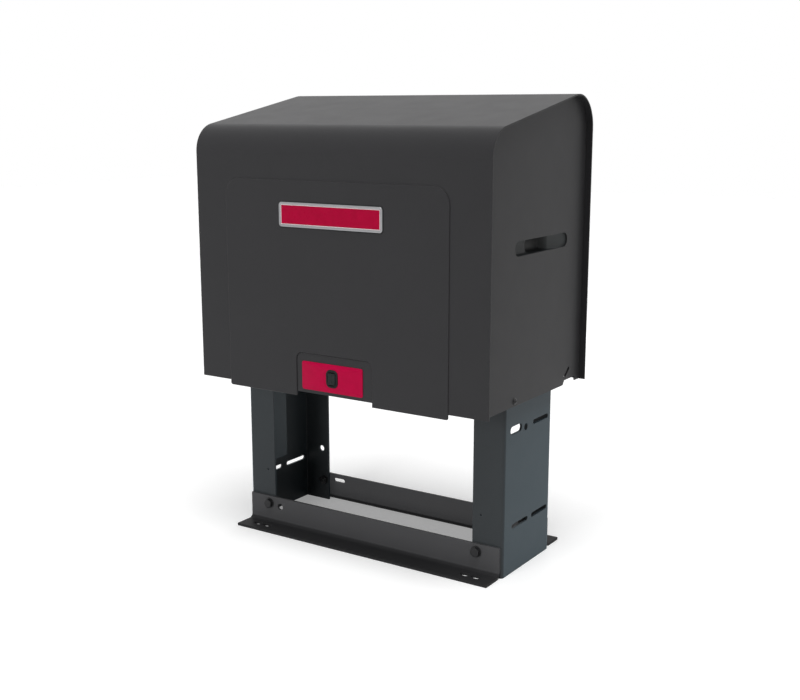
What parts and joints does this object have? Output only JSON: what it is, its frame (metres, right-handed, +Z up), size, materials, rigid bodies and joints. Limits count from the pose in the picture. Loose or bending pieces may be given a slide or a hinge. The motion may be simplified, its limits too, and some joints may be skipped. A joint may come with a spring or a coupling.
{
  "type": "slide gate operator",
  "caption": "Slide-gate operator: bent steel hood on a two-legged pad stand, over a belt and worm drive, chain sprocket, idlers and control box.",
  "frame": {"origin": "centre of the outer anchor-slot pattern, on the floor under the base", "axes": "+Z up; +X to the right along the base angles, the way the gate runs; +Y to the rear, away from the switch plate"},
  "size_m": [0.61, 0.3669, 0.8203],
  "materials": {
    "painted_steel_dark": "satin powder coat",
    "hood_paint": "satin powder coat",
    "zinc_fasteners": "zinc plated",
    "black_fasteners": "black zinc plated",
    "machined_steel": "turned and ground",
    "gearbox_cast": "painted casting",
    "bronze": "machined bronze",
    "nylon_gear": "moulded nylon",
    "cast_pulley": "turned casting",
    "belt_rubber": "fabric-faced rubber",
    "motor_paint": "gloss enamel",
    "lamination_steel": "stacked laminations",
    "black_plastic": "moulded, fine texture",
    "box_paint": "light grey powder coat",
    "board_green": "solder mask",
    "transformer_iron": "varnished laminations",
    "battery_plastic": "moulded case",
    "nameplate_silver": "bright brushed edge",
    "sign_red": "screen-printed red"
  },
  "bodies": {
    "stand": {"left_leg": "painted_steel_dark", "right_leg": "painted_steel_dark", "front_base_angle": "painted_steel_dark", "rear_base_angle": "painted_steel_dark", "stand_bolts": "black_fasteners", "chassis_deck": "painted_steel_dark", "idler_brackets": "painted_steel_dark", "idler_axles": "machined_steel", "gearbox_housing": "gearbox_cast", "gearbox_cover": "gearbox_cast", "gearbox_bearings": "machined_steel", "encoder_bracket": "painted_steel_dark", "encoder_unit": "black_plastic", "drive_belt": "belt_rubber", "motor_table": "painted_steel_dark", "motor_cradles": "painted_steel_dark", "mechanism_bolts": "zinc_fasteners", "motor_housing": "motor_paint", "stator": "lamination_steel", "right_end_bell": "motor_paint", "left_end_bell": "motor_paint", "motor_bearings": "machined_steel", "fan_cover": "motor_paint", "capacitor_cover": "motor_paint", "control_box": "box_paint", "hinge_pins": "zinc_fasteners", "control_board": "board_green", "terminal_strip": "black_plastic", "transformer": "transformer_iron", "battery_tray": "painted_steel_dark", "batteries": "battery_plastic", "switch_bracket": "painted_steel_dark", "switch_plate": "sign_red", "switch_bezel": "black_plastic"},
    "hood": {"hood_wrap": "hood_paint", "hood_left_panel": "hood_paint", "hood_right_panel": "hood_paint", "hood_front_panel": "hood_paint", "nameplate_frame": "nameplate_silver", "nameplate_field": "sign_red", "left_grip": "black_plastic", "right_grip": "black_plastic", "hood_rests": "hood_paint", "hood_screws": "zinc_fasteners"},
    "rocker": {"rocker_button": "black_plastic"},
    "motor_rotor": {"rotor_shaft": "machined_steel", "motor_pulley": "cast_pulley", "cooling_fan": "black_plastic"},
    "worm": {"worm_shaft": "machined_steel", "driven_pulley": "cast_pulley"},
    "output": {"output_shaft": "machined_steel", "worm_wheel": "bronze", "drive_sprocket": "machined_steel", "encoder_drive_gear": "machined_steel"},
    "encoder": {"encoder_shaft": "machined_steel", "encoder_gear": "nylon_gear"},
    "left_idler": {"left_idler_sprocket": "machined_steel"},
    "right_idler": {"right_idler_sprocket": "machined_steel"},
    "door": {"control_box_door": "box_paint", "door_pull": "zinc_fasteners"}
  },
  "joints": [
    {"name": "hood_lift", "type": "slide", "parent": "stand", "child": "hood", "axis": [0, 0, 1], "range_m": [0, 0.45]},
    {"name": "rocker_tilt", "type": "hinge", "parent": "stand", "child": "rocker", "pos_m": [-0.0045, -0.1835, 0.33725], "axis": [1, 0, 0], "range_deg": [-8, 8]},
    {"name": "motor_spin", "type": "hinge", "parent": "stand", "child": "motor_rotor", "pos_m": [0, 0.02, 0.612], "axis": [1, 0, 0], "continuous": true},
    {"name": "worm_spin", "type": "hinge", "parent": "stand", "child": "worm", "pos_m": [0, 0.02, 0.46], "axis": [1, 0, 0], "continuous": true},
    {"name": "output_spin", "type": "hinge", "parent": "stand", "child": "output", "pos_m": [0, 0, 0.4], "axis": [0, 1, 0], "continuous": true},
    {"name": "encoder_spin", "type": "hinge", "parent": "stand", "child": "encoder", "pos_m": [-0.0375, 0, 0.4], "axis": [0, 1, 0], "continuous": true},
    {"name": "left_idler_spin", "type": "hinge", "parent": "stand", "child": "left_idler", "pos_m": [-0.25, -0.0465, 0.27955], "axis": [0, 1, 0], "continuous": true},
    {"name": "right_idler_spin", "type": "hinge", "parent": "stand", "child": "right_idler", "pos_m": [0.25, -0.0465, 0.27955], "axis": [0, 1, 0], "continuous": true},
    {"name": "door_swing", "type": "hinge", "parent": "stand", "child": "door", "pos_m": [-0.2654, -0.023, 0.432], "axis": [0, 0, 1], "range_deg": [-88, 0]}
  ],
  "couplings": [
    {"joint": "worm_spin", "follows": "motor_spin", "ratio": 0.33333},
    {"joint": "output_spin", "follows": "motor_spin", "ratio": -0.0083333},
    {"joint": "encoder_spin", "follows": "motor_spin", "ratio": 0.0125}
  ]
}
